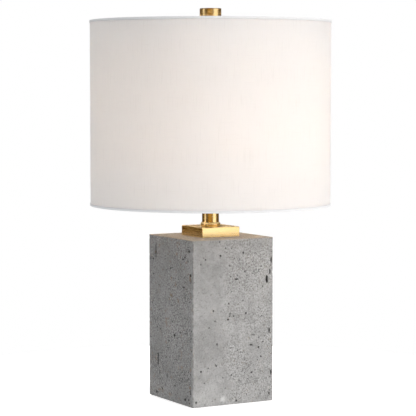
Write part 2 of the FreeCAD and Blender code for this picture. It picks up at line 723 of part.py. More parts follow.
def harp_seat():
    """The swaged collar on top of the bow that the shade rests on."""
    z0 = HARP_TOP - 1.5 * HARP_WIRE_R
    plate_bottom = HARP_SEAT_TOP - HARP_SEAT_PLATE
    collar = cylinder(HARP_COLLAR_R, z0, plate_bottom)
    plate = cylinder(HARP_SEAT_R, plate_bottom, HARP_SEAT_TOP)
    seat = collar.fuse(plate).removeSplitter()
    return seat.cut(cylinder(STUD_R, HARP_SEAT_TOP - STUD_SINK, HARP_SEAT_TOP + 1))


def harp_stud():
    top = HARP_SEAT_TOP + STUD_LENGTH
    stud = cylinder(STUD_R, HARP_SEAT_TOP - STUD_SINK, top)
    return stud.makeChamfer(STUD_CHAMFER, edges_at(stud, top))


def ferrule(side):
    z0 = SADDLE_BEND_Z + FERRULE_RISE
    sleeve = tube(FERRULE_R, FERRULE_BORE_R, z0, z0 + FERRULE_LENGTH)
    rims = [e for e in sleeve.Edges if abs(radius_at(e) - FERRULE_R) < 1e-6]
    sleeve = sleeve.makeFillet(FERRULE_EDGE, rims)
    sleeve.translate(X_AXIS * (side * SADDLE_TAB_X))
    return sleeve


# ---- shade


def shade_fabric():
    return tube(SHADE_R, SHADE_R - FABRIC_THICK, SHADE_BOTTOM, SHADE_TOP)


def shade_liner():
    r = SHADE_R - FABRIC_THICK
    return tube(r, r - LINER_THICK, SHADE_BOTTOM, SHADE_TOP)


def ring_r():
    return SHADE_R - FABRIC_THICK - LINER_THICK - RING_WIRE_R - RING_GAP


def shade_ring(z):
    return Part.makeTorus(ring_r(), RING_WIRE_R, Vec(0, 0, z))


def shade_trim(edge_z, inwards):
    """A folded band over one edge of the drum. inwards is the direction from the edge into the drum."""
    back_r = SHADE_R - FABRIC_THICK - LINER_THICK
    folded = edge_z - inwards * TRIM_THICK
    outer_end = folded + inwards * TRIM_HEIGHT
    return revolved([
        (SHADE_R + TRIM_THICK, folded),
        (SHADE_R + TRIM_THICK, outer_end),
        (SHADE_R, outer_end),
        (SHADE_R, edge_z),
        (back_r, edge_z),
        (back_r, folded),
    ])


def spider_arm():
    """One arm: down from the top ring, round a bend, and in to the washer."""
    r_outer = ring_r()
    top = Vec(r_outer, 0, SHADE_TOP - RING_WIRE_R)
    bend = Vec(r_outer - SPIDER_BEND_R, 0, SPIDER_WIRE_Z + SPIDER_BEND_R)
    inner = Vec(SPIDER_WASHER_R - SPIDER_LAP, 0, SPIDER_WIRE_Z)
    drop = Part.makeLine(top, bend + X_AXIS * SPIDER_BEND_R)
    turn = arc_about(bend, SPIDER_BEND_R, 0, -90)
    run = Part.makeLine(bend - Z_AXIS * SPIDER_BEND_R, inner)
    arm = wire_solid([drop, turn, run], SPIDER_WIRE_R)
    return arm.cut(shade_ring(SHADE_TOP - RING_WIRE_R)).cut(spider_washer())


def spider_arms():
    arms = []
    for i in range(SPIDER_ARMS):
        arm = spider_arm()
        arm.rotate(Vec(0, 0, 0), Z_AXIS, SPIDER_FIRST_DEG + 360 / SPIDER_ARMS * i)
        solids = sorted(arm.Solids, key=lambda s: s.Volume)
        arms.append(solids[-1])
    return Part.makeCompound(arms)


def spider_washer():
    return tube(
        SPIDER_WASHER_R, SPIDER_WASHER_BORE_R, SPIDER_WASHER_TOP - SPIDER_WASHER_THICK, SPIDER_WASHER_TOP
    )


# ---- finial


def finial_cap():
    cap = cylinder(FINIAL_R, SPIDER_WASHER_TOP, FINIAL_TOP)
    cap = cap.makeFillet(FINIAL_EDGE, [e for e in cap.Edges if radius_at(e)])
    seat = cylinder(BUSH_R + TURN_GAP, SPIDER_WASHER_TOP - 1, SPIDER_WASHER_TOP + BUSH_LENGTH + TURN_GAP)
    return cap.cut(seat)


def finial_bush():
    bush = cylinder(BUSH_R, SPIDER_WASHER_TOP, SPIDER_WASHER_TOP + BUSH_LENGTH)
    bore_top = SPIDER_WASHER_TOP + BUSH_BORE_LENGTH
    return bush.cut(cylinder(STUD_R + TURN_GAP, SPIDER_WASHER_TOP - 1, bore_top))


PARTS = {
    "concrete_block": concrete_block,
    "felt_base_pad": felt_base_pad,
    "cord_grommet": cord_grommet,
    "lamp_pipe": lamp_pipe,
    "bottom_washer": bottom_washer,
    "lock_washer": lock_washer,
    "bottom_nut": bottom_nut,
    "brass_plinth": brass_plinth,
    "bead_ring": bead_ring,
    "neck_tube": neck_tube,
    "neck_cap": neck_cap,
    "neck_nut": neck_nut,
    "harp_saddle": harp_saddle,
    "socket_hub": socket_hub,
    "socket_set_screw": socket_set_screw,
    "socket_cap": socket_cap,
    "socket_shell": socket_shell,
    "socket_liner": socket_liner,
    "socket_body": socket_body,
    "terminal_screws": terminal_screws,
    "screw_shell": screw_shell,
    "centre_contact": centre_contact,
    "switch_rotor": switch_rotor,
    "switch_shaft": switch_shaft,
    "turn_knob": turn_knob,
    "bulb_contact": bulb_contact,
    "bulb_insulator": bulb_insulator,
    "bulb_cap": bulb_cap,
    "bulb_glass": bulb_glass,
    "bulb_stem": bulb_stem,
    "bulb_lead_wires": bulb_lead_wires,
    "bulb_filament": bulb_filament,
    "harp_bow": harp_bow,
    "harp_seat": harp_seat,
    "harp_stud": harp_stud,
    "ferrule_left": lambda: ferrule(-1),
    "ferrule_right": lambda: ferrule(1),
    "shade_fabric": shade_fabric,
    "shade_liner": shade_liner,
    "top_ring": lambda: shade_ring(SHADE_TOP - RING_WIRE_R),
    "bottom_ring": lambda: shade_ring(SHADE_BOTTOM + RING_WIRE_R),
    "spider_arms": spider_arms,
    "spider_washer": spider_washer,
    "top_trim": lambda: shade_trim(SHADE_TOP, -1),
    "bottom_trim": lambda: shade_trim(SHADE_BOTTOM, 1),
    "finial_cap": finial_cap,
    "finial_bush": finial_bush,
}


def main():
    os.makedirs("parts", exist_ok=True)
    for name, make in PARTS.items():
        shape = make()
        sound = all(s.isValid() for s in shape.Solids)
        print(f"{name}: {len(shape.Solids)} solids, {shape.Volume / 1000:.2f} cm3, valid {sound}")
        shape.exportStep(f"parts/{name}.step")


main()
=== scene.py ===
import math
import random

import bmesh
import bpy
import numpy as np
from mathutils import Matrix, Vector, noise


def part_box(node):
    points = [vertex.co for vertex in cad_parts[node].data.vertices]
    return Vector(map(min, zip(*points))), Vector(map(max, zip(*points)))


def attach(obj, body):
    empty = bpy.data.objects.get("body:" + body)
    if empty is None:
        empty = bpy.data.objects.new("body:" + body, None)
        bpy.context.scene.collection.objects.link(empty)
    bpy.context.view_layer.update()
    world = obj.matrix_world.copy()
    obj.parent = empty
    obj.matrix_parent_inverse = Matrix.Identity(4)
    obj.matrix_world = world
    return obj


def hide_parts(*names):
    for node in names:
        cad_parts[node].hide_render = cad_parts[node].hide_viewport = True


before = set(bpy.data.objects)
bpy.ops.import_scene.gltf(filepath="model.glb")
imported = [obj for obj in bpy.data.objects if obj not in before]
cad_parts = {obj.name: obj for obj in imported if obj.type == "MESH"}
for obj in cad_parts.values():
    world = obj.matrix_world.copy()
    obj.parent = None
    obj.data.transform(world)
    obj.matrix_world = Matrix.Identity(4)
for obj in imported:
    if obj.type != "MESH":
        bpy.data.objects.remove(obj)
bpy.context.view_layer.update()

MM = 0.001
SEED = 7

# Camera: azimuth 0 looks along +Y, and pitch is below the horizon
CAMERA_AZIMUTH = math.radians(-29.6)
CAMERA_DISTANCE = 2.430
CAMERA_HEIGHT = 0.433
CAMERA_PITCH = math.radians(3.98)
CAMERA_YAW = math.radians(0.08)
SENSOR = 36.0
LENS = 4.249 * SENSOR

# The shade's glued seam is at its back, straight away from the camera
SEAM_ANGLE = math.pi / 2 + CAMERA_AZIMUTH
SEAM_LAP = 12 * MM
SEAM_RISE_RUN = 4 * MM
SEAM_FALL_RUN = 2 * MM

# Cloth
LINEN_THICK = 0.6 * MM
LINER_THICK = 0.35 * MM
SHADE_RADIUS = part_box("shade_fabric")[1].x
LINEN_PITCH = 0.8 * MM

# Concrete
CONCRETE_DARK = (0.228, 0.227, 0.225)
CONCRETE_PALE = (0.325, 0.324, 0.321)
CONCRETE_SHADOW = (0.02, 0.02, 0.02)
SAND_DARK = (0.075, 0.073, 0.071)
SAND_PALE = (0.56, 0.555, 0.55)
GRIT = (0.06, 0.058, 0.055)
FRONT_FACE_SHADE = (0.03, 0.03, 0.03)
RUST = (0.16, 0.10, 0.055)
PASTE = (0.58, 0.58, 0.58)
NEAR_EDGE_DARK = (0.07, 0.068, 0.065)
DUST_AND_WARM_LIGHT = (0.30, 0.25, 0.19)
PORE_GREY = (0.045, 0.043, 0.041)
PORE_BROWN = (0.13, 0.09, 0.05)
PIT_SHADE = (0.022, 0.021, 0.020)
EDGE_ROUND = 0.8 * MM
BLOCK_STEP = 1.8 * MM
EDGE_STEP = 0.4 * MM
EDGE_BAND = 2.8 * MM
ON_FACE = 0.5 * MM
PIT_MARGIN = 0.9 * MM
# Depth at which a pit's painted shade is darkest
PIT_SHADE_DEPTH = 0.9 * MM
RECESS_GAP = 0.3 * MM
POCKET_RADIUS = 22 * MM
BORE_RADIUS = 6.5 * MM
INLET_RADIUS = 5.2 * MM

# Screw threads, as pitch and depth
BULB_THREAD = (25.4 * MM / 7, 0.55 * MM)
SHELL_THREAD = (25.4 * MM / 7, 0.5 * MM)
STUD_THREAD = (25.4 * MM / 27, 0.4 * MM)

# Cloth and brass colours
LINEN_PALE = (0.81, 0.80, 0.81)
LINEN_SLUB = (0.69, 0.68, 0.68)
LINEN_GLOW = (0.97, 0.96, 0.945)
LINEN_SEE_THROUGH = 0.50
HEM_GLOW = (0.75, 0.73, 0.72)
HEM_SEE_THROUGH = 0.12
HEM_PALE = (0.69, 0.69, 0.705)
HEM_SLUB = (0.60, 0.60, 0.61)
BRASS_DEEP = (0.82, 0.60, 0.28)
BRASS_PALE = (0.89, 0.70, 0.38)

# Light
LAMP_MIDDLE = 0.27
SOFTBOX_DISTANCE = 2.4
BULB_GLOW = 14.0
BULB_COLOUR = (1.0, 0.79, 0.60, 1)
WORLD_FILL = 0.50
STUDIO_DARK = (0.12, 0.070, 0.012, 1)
FLOOR_GLOW = 0.58
FLOOR_RADIUS = 0.5


# ---- shading


class Shading:
    """A material's node tree. Each method adds nodes and returns the socket that they give."""

    def __init__(self, name):
        self.material = bpy.data.materials.new(name)
        self.material.use_nodes = True
        self.tree = self.material.node_tree
        self.tree.nodes.clear()

    def add(self, kind, inputs, output=0, **settings):
        node = self.tree.nodes.new(kind)
        for key, value in settings.items():
            setattr(node, key, value)
        for key, value in inputs.items():
            if isinstance(value, bpy.types.NodeSocket):
                self.tree.links.new(value, node.inputs[key])
            else:
                node.inputs[key].default_value = value
        return node.outputs[output]

    def place(self, scale=(1, 1, 1)):
        """The point's place on the object, in metres, with each axis scaled."""
        here = self.add("ShaderNodeTexCoord", {}, "Object")
        return self.add("ShaderNodeVectorMath", {0: here, 1: scale}, operation="MULTIPLY")

    def parts(self, vector):
        x = self.add("ShaderNodeSeparateXYZ", {0: vector}, "X")
        return x, x.node.outputs["Y"], x.node.outputs["Z"]

    def around(self, radius):
        """The place on a drum as (length round it, height, 0), cut open at the seam."""
        here = self.add("ShaderNodeTexCoord", {}, "Object")
        turn = (0, 0, math.pi - SEAM_ANGLE)
        turned = self.add("ShaderNodeMapping", {"Vector": here, "Rotation": turn})
        x, y, z = self.parts(turned)
        angle = self.calc("ARCTAN2", y, x)
        length = self.calc("MULTIPLY", angle, radius)
        return self.add("ShaderNodeCombineXYZ", {0: length, 1: z})

    def noise(self, place, scale, detail=4.0, roughness=0.55, distortion=0.0):
        inputs = {
            "Vector": place,
            "Scale": scale,
            "Detail": detail,
            "Roughness": roughness,
            "Distortion": distortion,
        }
        return self.add("ShaderNodeTexNoise", inputs)

    def cells(self, place, scale, output="Distance"):
        return self.add("ShaderNodeTexVoronoi", {"Vector": place, "Scale": scale}, output)

    def calc(self, operation, a, b=0.0):
        return self.add("ShaderNodeMath", {0: a, 1: b}, operation=operation)

    def fit(self, value, low, high, to_low=0.0, to_high=1.0):
        """value from low..high brought to to_low..to_high, smoothly and held at the ends."""
        inputs = {"Value": value, "From Min": low, "From Max": high, "To Min": to_low, "To Max": to_high}
        return self.add("ShaderNodeMapRange", inputs, interpolation_type="SMOOTHSTEP")

    def blend(self, factor, a, b):
        """Colour a where factor is 0, and colour b where it is 1."""
        colours = {
            0: factor,
            6: a if isinstance(a, bpy.types.NodeSocket) else (*a, 1),
            7: b if isinstance(b, bpy.types.NodeSocket) else (*b, 1),
        }
        return self.add("ShaderNodeMix", colours, 2, data_type="RGBA")

    def bump(self, height, depth, over=None):
        """Relief depth metres deep where height goes from 0 to 1."""
        inputs = {"Height": height, "Distance": depth, "Strength": 1.0}
        if over is not None:
            inputs["Normal"] = over
        return self.add("ShaderNodeBump", inputs)

    def principled(self, colour, **inputs):
        sockets = {"Base Color": colour if isinstance(colour, bpy.types.NodeSocket) else (*colour, 1)}
        for key, value in inputs.items():
            sockets[key.replace("_", " ")] = value
        return self.add("ShaderNodeBsdfPrincipled", sockets)

    def finish(self, shader):
        out = self.tree.nodes.new("ShaderNodeOutputMaterial")
        self.tree.links.new(shader, out.inputs["Surface"])
        return self.material


def concrete():
    """Cast concrete: clouds, sandy grain, air holes painted dark with shade and dirt, rust spots, a smoother
    side, painted shade on the left face and over part of the front face, a darker near edge, and a top tinted
    by dust and painted warm light.
    """
    g = Shading("cast_concrete")
    here = g.place()
    east, north, up = g.parts(here)
    clouds = g.noise(here, 14.0, 4.0, 0.55, 0.5)
    mottle = g.noise(here, 90.0, 6.0, 0.72, 0.3)
    sand = g.noise(here, 430.0, 3.0, 0.75)
    tone = g.calc("ADD", g.calc("MULTIPLY", clouds, 0.50), g.calc("MULTIPLY", mottle, 0.50))
    colour = g.blend(g.fit(tone, 0.35, 0.65), CONCRETE_DARK, CONCRETE_PALE)
    off_front = g.fit(north, -61 * MM, -55 * MM, 0.0, 1.4)
    open_side = g.calc("MAXIMUM", g.fit(east, -30 * MM, 8 * MM, 0.30, 1.0), off_front)
    patches = g.fit(g.noise(here, 26.0, 3.0, 0.6), 0.35, 0.6, 0.45, 1.0)
    sandy = g.calc("MULTIPLY", open_side, patches)
    shade = g.calc("MULTIPLY", g.fit(sand, 0.51, 0.37), g.calc("MULTIPLY", sandy, 0.66))
    colour = g.blend(shade, colour, SAND_DARK)
    light = g.calc("MULTIPLY", g.fit(sand, 0.52, 0.68), g.calc("MULTIPLY", sandy, 0.36))
    colour = g.blend(light, colour, SAND_PALE)
    # Painted shade: the left face is darkened, as if it took less light than the front.
    side = g.fit(east, -63 * MM, -38 * MM, 0.28, 0.0)
    colour = g.blend(g.calc("MULTIPLY", side, g.fit(north, -62 * MM, -58 * MM)), colour, CONCRETE_SHADOW)
    speck = g.fit(g.noise(here, 300.0, 4.0, 0.8), 0.60, 0.68)
    colour = g.blend(g.calc("MULTIPLY", speck, g.calc("MULTIPLY", sandy, 0.70)), colour, GRIT)
    # Painted shade: the front face is darkened over its left part and low on its right.
    front_left_shade = g.calc("MULTIPLY", g.fit(east, -6 * MM, -30 * MM), g.fit(up, 12 * MM, 40 * MM))
    front_low_shade = g.calc("MULTIPLY", g.fit(east, -4 * MM, 10 * MM), g.fit(up, 100 * MM, 70 * MM))
    on_front = g.fit(north, -61.8 * MM, -62.4 * MM)
    front_face_shade = g.calc("MULTIPLY", g.calc("MAXIMUM", front_left_shade, front_low_shade), on_front)
    colour = g.blend(g.calc("MULTIPLY", front_face_shade, 0.12), colour, FRONT_FACE_SHADE)
    rust = g.fit(g.noise(here, 120.0, 2.0, 0.5, 0.3), 0.65, 0.70)
    rusty_side = g.calc("MULTIPLY", g.fit(north, -62 * MM, -60 * MM), 0.50)
    colour = g.blend(g.calc("MULTIPLY", rust, rusty_side), colour, RUST)
    spot = g.add("ShaderNodeVectorMath", {0: here, 1: PALE_SPOT}, "Value", operation="DISTANCE")
    ragged = g.calc("ADD", spot, g.calc("MULTIPLY", mottle, 8 * MM))
    colour = g.blend(g.fit(ragged, 5.5 * MM, 10 * MM, 0.45, 0.0), colour, PASTE)
    # Darker along the near vertical edge, in patches.
    near_edge_dark = g.calc("MULTIPLY", g.fit(east, -61 * MM, -62 * MM), g.fit(north, -61 * MM, -62 * MM))
    near_edge_dark = g.calc("MULTIPLY", near_edge_dark, g.fit(g.noise(here, 110.0, 3.0, 0.7), 0.42, 0.58, 0.1, 0.75))
    colour = g.blend(near_edge_dark, colour, NEAR_EDGE_DARK)
    # The top face is tinted warm beige: partly dust, partly painted warm light from the lamp above.
    dust_and_warm_light = g.fit(up, 224.5 * MM, 225.8 * MM, 0.0, 0.55)
    colour = g.blend(dust_and_warm_light, colour, DUST_AND_WARM_LIGHT)
    holes = []
    for scale, size in ((210.0, 0.20), (400.0, 0.22)):
        holes.append(g.fit(g.cells(here, scale), size * 0.6, size, 1.0, 0.0))
    pores = g.calc("MAXIMUM", *holes)
    # The air holes are painted dark: painted shade inside them, mixed with brown dirt.
    pore_shade_and_dirt = g.blend(g.fit(g.noise(here, 60.0), 0.5, 0.65), PORE_GREY, PORE_BROWN)
    colour = g.blend(g.calc("MULTIPLY", pores, g.calc("MULTIPLY", sandy, 0.80)), colour, pore_shade_and_dirt)
    # The deeper parts of the cast pits are painted dark: painted shade inside them.
    pit_shade = g.add("ShaderNodeAttribute", {}, "Fac", attribute_name="pit_shade")
    colour = g.blend(g.calc("MULTIPLY", pit_shade, 0.92), colour, PIT_SHADE)
    relief = g.calc("SUBTRACT", g.calc("MULTIPLY", mottle, 0.5), pores)
    fine = g.bump(sand, 0.5 * MM)
    return g.finish(g.principled(
        colour,
        Roughness=g.fit(mottle, 0.3, 0.7, 0.84, 0.96),
        Specular_IOR_Level=0.25,
        Normal=g.bump(relief, 0.6 * MM, fine),
    ))


def brushed(name, dark, pale, grain, rough=(0.20, 0.30)):
    """Satin metal with fine lines. grain scales each axis: the axis across the lines gets the most."""
    g = Shading(name)
    here = g.place(grain)
    lines = g.noise(here, 1.0, 3.0, 0.65)
    broad = g.noise(g.place((18, 18, 18)), 1.0, 3.0, 0.5)
    tone = g.calc("ADD", g.calc("MULTIPLY", lines, 0.7), g.calc("MULTIPLY", broad, 0.3))
    colour = g.blend(g.fit(tone, 0.35, 0.65), dark, pale)
    return g.finish(g.principled(
        colour,
        Metallic=1.0,
        Roughness=g.fit(tone, 0.3, 0.7, rough[1], rough[0]),
        Normal=g.bump(lines, 0.0015 * MM),
    ))


def weave(g, flat, pitch):
    """Plain weave in cloth coordinates: relief from 0 to 1, and how thick the yarns are."""
    u, v, _ = g.parts(flat)
    wave_u = g.calc("COSINE", g.calc("MULTIPLY", u, math.pi / pitch))
    wave_v = g.calc("COSINE", g.calc("MULTIPLY", v, math.pi / pitch))
    ribs = g.calc("ADD", g.calc("ABSOLUTE", wave_u), g.calc("ABSOLUTE", wave_v))
    checks = g.calc("MULTIPLY", wave_u, wave_v)
    relief = g.calc("ADD", g.calc("MULTIPLY", ribs, 0.35), g.calc("MULTIPLY", checks, 0.3))
    yarns = []
    for scale in ((0.9 / pitch, 28.0, 1.0), (28.0, 0.9 / pitch, 1.0)):
        along = g.add("ShaderNodeVectorMath", {0: flat, 1: scale}, operation="MULTIPLY")
        yarns.append(g.noise(along, 1.0, 2.0, 0.5))
    return relief, yarns[0], yarns[1]


def linen(name, pale, slub, pitch, see_through, tint):
    """Woven linen with uneven yarns. Light comes through it by see_through, tinted."""
    g = Shading(name)
    flat = g.around(SHADE_RADIUS)
    relief, upright, level = weave(g, flat, pitch)
    thick = g.calc("MAXIMUM", g.fit(upright, 0.55, 0.75), g.calc("MULTIPLY", g.fit(level, 0.58, 0.78), 0.7))
    colour = g.blend(g.calc("MULTIPLY", thick, 0.55), pale, slub)
    faint = g.fit(g.noise(g.place(), 30.0, 3.0, 0.5), 0.3, 0.7)
    colour = g.blend(g.calc("MULTIPLY", faint, 0.25), colour, tuple(0.96 * c for c in pale))
    height = g.calc("ADD", g.calc("MULTIPLY", relief, 0.6), g.calc("MULTIPLY", thick, 0.5))
    normal = g.bump(height, 0.12 * MM)
    face = g.principled(colour, Roughness=0.9, Specular_IOR_Level=0.2, Sheen_Weight=0.3, Normal=normal)
    shade = g.calc("MULTIPLY", thick, 0.22)
    through = g.blend(shade, tint, tuple(0.75 * c for c in tint))
    glow = g.add("ShaderNodeBsdfTranslucent", {"Color": through, "Normal": normal})
    return g.finish(g.add("ShaderNodeMixShader", {0: see_through, 1: face, 2: glow}))


def styrene():
    """The shade's white plastic lining: satin, faintly mottled where it is laminated to the cloth."""
    g = Shading("shade_styrene")
    flat = g.around(SHADE_RADIUS)
    relief, upright, _ = weave(g, flat, LINEN_PITCH)
    patches = g.noise(g.place(), 45.0, 4.0, 0.6)
    tone = g.calc("ADD", g.calc("MULTIPLY", patches, 0.6), g.calc("MULTIPLY", upright, 0.4))
    colour = g.blend(g.fit(tone, 0.35, 0.65), (0.78, 0.775, 0.76), (0.84, 0.84, 0.83))
    normal = g.bump(g.calc("ADD", g.calc("MULTIPLY", relief, 0.3), patches), 0.05 * MM)
    face = g.principled(colour, Roughness=g.fit(patches, 0.3, 0.7, 0.38, 0.5), Normal=normal)
    glow = g.add("ShaderNodeBsdfTranslucent", {"Color": (0.93, 0.925, 0.91, 1), "Normal": normal})
    return g.finish(g.add("ShaderNodeMixShader", {0: 0.60, 1: face, 2: glow}))


def felt():
    g = Shading("pad_felt")
    fibres = g.noise(g.place(), 1400.0, 4.0, 0.7, 1.5)
    tufts = g.noise(g.place(), 160.0, 4.0, 0.6)
    tone = g.calc("ADD", g.calc("MULTIPLY", fibres, 0.6), g.calc("MULTIPLY", tufts, 0.4))
    colour = g.blend(g.fit(tone, 0.35, 0.65), (0.012, 0.012, 0.013), (0.05, 0.049, 0.048))
    return g.finish(g.principled(
        colour, Roughness=0.95, Sheen_Weight=0.4, Sheen_Roughness=0.6, Normal=g.bump(tone, 0.35 * MM)
    ))


def moulded(name, dark, pale, rough, gloss=0.5, coat=0.0):
    """Moulded plastic or enamel: faint flow marks, orange peel and small rubbed spots."""
    g = Shading(name)
    flow = g.noise(g.place((1, 1, 0.4)), 90.0, 4.0, 0.6, 0.8)
    peel = g.noise(g.place(), 700.0, 2.0, 0.5)
    rubbed = g.fit(g.noise(g.place(), 260.0, 3.0, 0.6), 0.55, 0.75)
    colour = g.blend(g.fit(flow, 0.3, 0.7), dark, pale)
    return g.finish(g.principled(
        colour,
        Roughness=g.fit(rubbed, 0.0, 1.0, rough, min(rough + 0.18, 1.0)),
        Specular_IOR_Level=gloss,
        Coat_Weight=coat,
        Normal=g.bump(peel, 0.03 * MM),
    ))


def zinc_steel():
    g = Shading("zinc_steel")
    spangle = g.cells(g.place(), 500.0)
    streaks = g.noise(g.place((300, 300, 60)), 1.0, 3.0, 0.6)
    tone = g.calc("ADD", g.calc("MULTIPLY", spangle, 0.5), g.calc("MULTIPLY", streaks, 0.5))
    colour = g.blend(g.fit(tone, 0.3, 0.7), (0.46, 0.46, 0.47), (0.66, 0.66, 0.66))
    return g.finish(g.principled(
        colour, Metallic=1.0, Roughness=g.fit(tone, 0.3, 0.7, 0.3, 0.48), Normal=g.bump(tone, 0.03 * MM)
    ))


def card():
    """The socket's pressed fibre liner."""
    g = Shading("liner_card")
    fibres = g.noise(g.place((1, 1, 0.35)), 900.0, 5.0, 0.7, 0.8)
    patches = g.noise(g.place(), 120.0, 4.0, 0.6)
    tone = g.calc("ADD", g.calc("MULTIPLY", fibres, 0.6), g.calc("MULTIPLY", patches, 0.4))
    colour = g.blend(g.fit(tone, 0.35, 0.65), (0.16, 0.11, 0.07), (0.30, 0.22, 0.15))
    return g.finish(g.principled(colour, Roughness=0.85, Normal=g.bump(tone, 0.12 * MM)))


def aluminium():
    return brushed("rolled_aluminium", (0.70, 0.70, 0.71), (0.84, 0.84, 0.85), (120, 120, 1200), (0.25, 0.42))


def frosted_glass():
    """The bulb's envelope, silica coated inside, with the filament's warm light in it."""
    g = Shading("frosted_glass")
    coat = g.noise(g.place(), 85.0, 4.0, 0.6)
    grain = g.noise(g.place(), 2200.0, 2.0, 0.6)
    colour = g.blend(g.fit(coat, 0.3, 0.7), (0.90, 0.89, 0.87), (0.97, 0.96, 0.94))
    normal = g.bump(grain, 0.02 * MM)
    shell = g.principled(
        colour,
        Roughness=g.fit(coat, 0.3, 0.7, 0.32, 0.42),
        Transmission_Weight=0.35,
        IOR=1.48,
        Emission_Color=BULB_COLOUR,
        Emission_Strength=BULB_GLOW,
        Normal=normal,
    )
    return g.finish(shell)


def clear_glass():
    g = Shading("stem_glass")
    flow = g.noise(g.place((1, 1, 0.3)), 180.0, 3.0, 0.5)
    return g.finish(g.principled(
        (0.96, 0.98, 0.97),
        Roughness=g.fit(flow, 0.3, 0.7, 0.03, 0.1),
        Transmission_Weight=0.9,
        IOR=1.52,
        Normal=g.bump(flow, 0.1 * MM),
    ))


# ---- mesh


def make_mesh(name, points, faces):
    mesh = bpy.data.meshes.new(name)
    mesh.from_pydata([tuple(p) for p in points], [], faces)
    work = bmesh.new()
    work.from_mesh(mesh)
    bmesh.ops.remove_doubles(work, verts=work.verts, dist=0.001 * MM)
    bmesh.ops.recalc_face_normals(work, faces=work.faces)
    work.to_mesh(mesh)
    work.free()
    return mesh


def soften(mesh, crease=35.0):
    """Smooth shading, apart from edges sharper than crease degrees."""
    mesh.polygons.foreach_set("use_smooth", [True] * len(mesh.polygons))
    mesh.set_sharp_from_angle(angle=math.radians(crease))


def place_object(name, mesh):
    thing = bpy.data.objects.new(name, mesh)
    bpy.context.scene.collection.objects.link(thing)
    return thing


def piece(name, mesh, material, body, replaced=(), crease=35.0):
    """A finished piece of the object, riding on its body."""
    if isinstance(mesh, bpy.types.Mesh):
        soften(mesh, crease)
    mesh.materials.append(material)
    thing = place_object(name, mesh)
    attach(thing, body)
    if replaced:
        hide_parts(*replaced)
    return thing


def rounded(corners, steps=4):
    """A closed outline from (r, z, corner radius) points."""
    outline = []
    for i, (r, z, radius) in enumerate(corners):
        here = Vector((r, z))
        if radius == 0:
            outline.append((r, z))
            continue
        before = Vector(corners[i - 1][:2]) - here
        after = Vector(corners[(i + 1) % len(corners)][:2]) - here
        run = radius / math.tan(before.angle(after) / 2)
        start = here + before.normalized() * run
        end = here + after.normalized() * run
        for k in range(steps + 1):
            t = k / steps
            at = start * (1 - t) ** 2 + here * (2 * t * (1 - t)) + end * t**2
            outline.append((at.x, at.y))
    return outline


def turned(outline, columns=96, shape=None):
    """A closed (r, z) outline turned about Z. shape(r, z, angle) gives the radius there."""
    count = len(outline)
    points = []
    faces = []
    for i in range(columns):
        angle = 2 * math.pi * i / columns
        onward = (i + 1) % columns
        for k, (r, z) in enumerate(outline):
            radius = shape(r, z, angle) if shape else r
            points.append((radius * math.cos(angle), radius * math.sin(angle), z))
            after = (k + 1) % count
            faces.append((i * count + k, onward * count + k, onward * count + after, i * count + after))
    return points, faces


def smoothstep(t):
    t = min(max(t, 0.0), 1.0)
    return t * t * (3 - 2 * t)


def helix_cut(thread, low, high):
    """How deep a round thread is cut at a height and angle, fading out over a half pitch at both ends."""
    pitch, depth = thread

    def cut(z, angle):
        phase = 2 * math.pi * z / pitch - angle
        fade = smoothstep((z - low) / (pitch / 2)) * smoothstep((high - z) / (pitch / 2))
        return depth * fade * (0.5 - 0.5 * math.cos(phase))

    return cut


def spread(low, high, count):
    return [low + (high - low) * i / count for i in range(count + 1)]


# ---- the cast block


def stops(low, high, step, edge_step, edge_band):
    """Stops from low to high: edge_step apart within edge_band of both ends, and about step apart between."""
    near = round(edge_band / edge_step)
    middle = round((high - low - 2 * edge_band) / step)
    return np.concatenate([
        np.linspace(low, low + edge_band, near, endpoint=False),
        np.linspace(low + edge_band, high - edge_band, middle, endpoint=False),
        np.linspace(high - edge_band, high, near + 1),
    ])


def lattice_box(xs, ys, zs):
    """The surface of a box as points and quads, with points at the given stops."""
    index = {}
    points = []
    faces = []

    def at(i, j, k):
        if (i, j, k) not in index:
            index[i, j, k] = len(points)
            points.append((xs[i], ys[j], zs[k]))
        return index[i, j, k]

    a, b, c = len(xs) - 1, len(ys) - 1, len(zs) - 1
    for i in range(a):
        for j in range(b):
            for k in (0, c):
                faces.append((at(i, j, k), at(i + 1, j, k), at(i + 1, j + 1, k), at(i, j + 1, k)))
    for i in range(a):
        for k in range(c):
            for j in (0, b):
                faces.append((at(i, j, k), at(i + 1, j, k), at(i + 1, j, k + 1), at(i, j, k + 1)))
    for j in range(b):
        for k in range(c):
            for i in (0, a):
                faces.append((at(i, j, k), at(i, j + 1, k), at(i, j + 1, k + 1), at(i, j, k + 1)))
    return points, faces


# Faces of the block, each with its outward direction and the direction to its viewer's right
BLOCK_FACES = {
    "front": (Vector((0, -1, 0)), Vector((1, 0, 0))),
    "left": (Vector((-1, 0, 0)), Vector((0, -1, 0))),
    "back": (Vector((0, 1, 0)), Vector((-1, 0, 0))),
    "right": (Vector((1, 0, 0)), Vector((0, 1, 0))),
}

# Kinds of mark that the casting can have: half width, half height and depth, in mm
MARK_SHAPES = {
    "pinhole": (1.0, 1.0, 1.0),
    "pit": (1.5, 1.4, 1.3),
    "crater": (2.4, 2.0, 1.6),
    "scrape": (3.0, 1.2, 1.0),
    "slit": (1.2, 4.0, 1.4),
    "gouge": (1.9, 5.5, 2.8),
    "streak": (1.6, 12.0, 1.4),
}

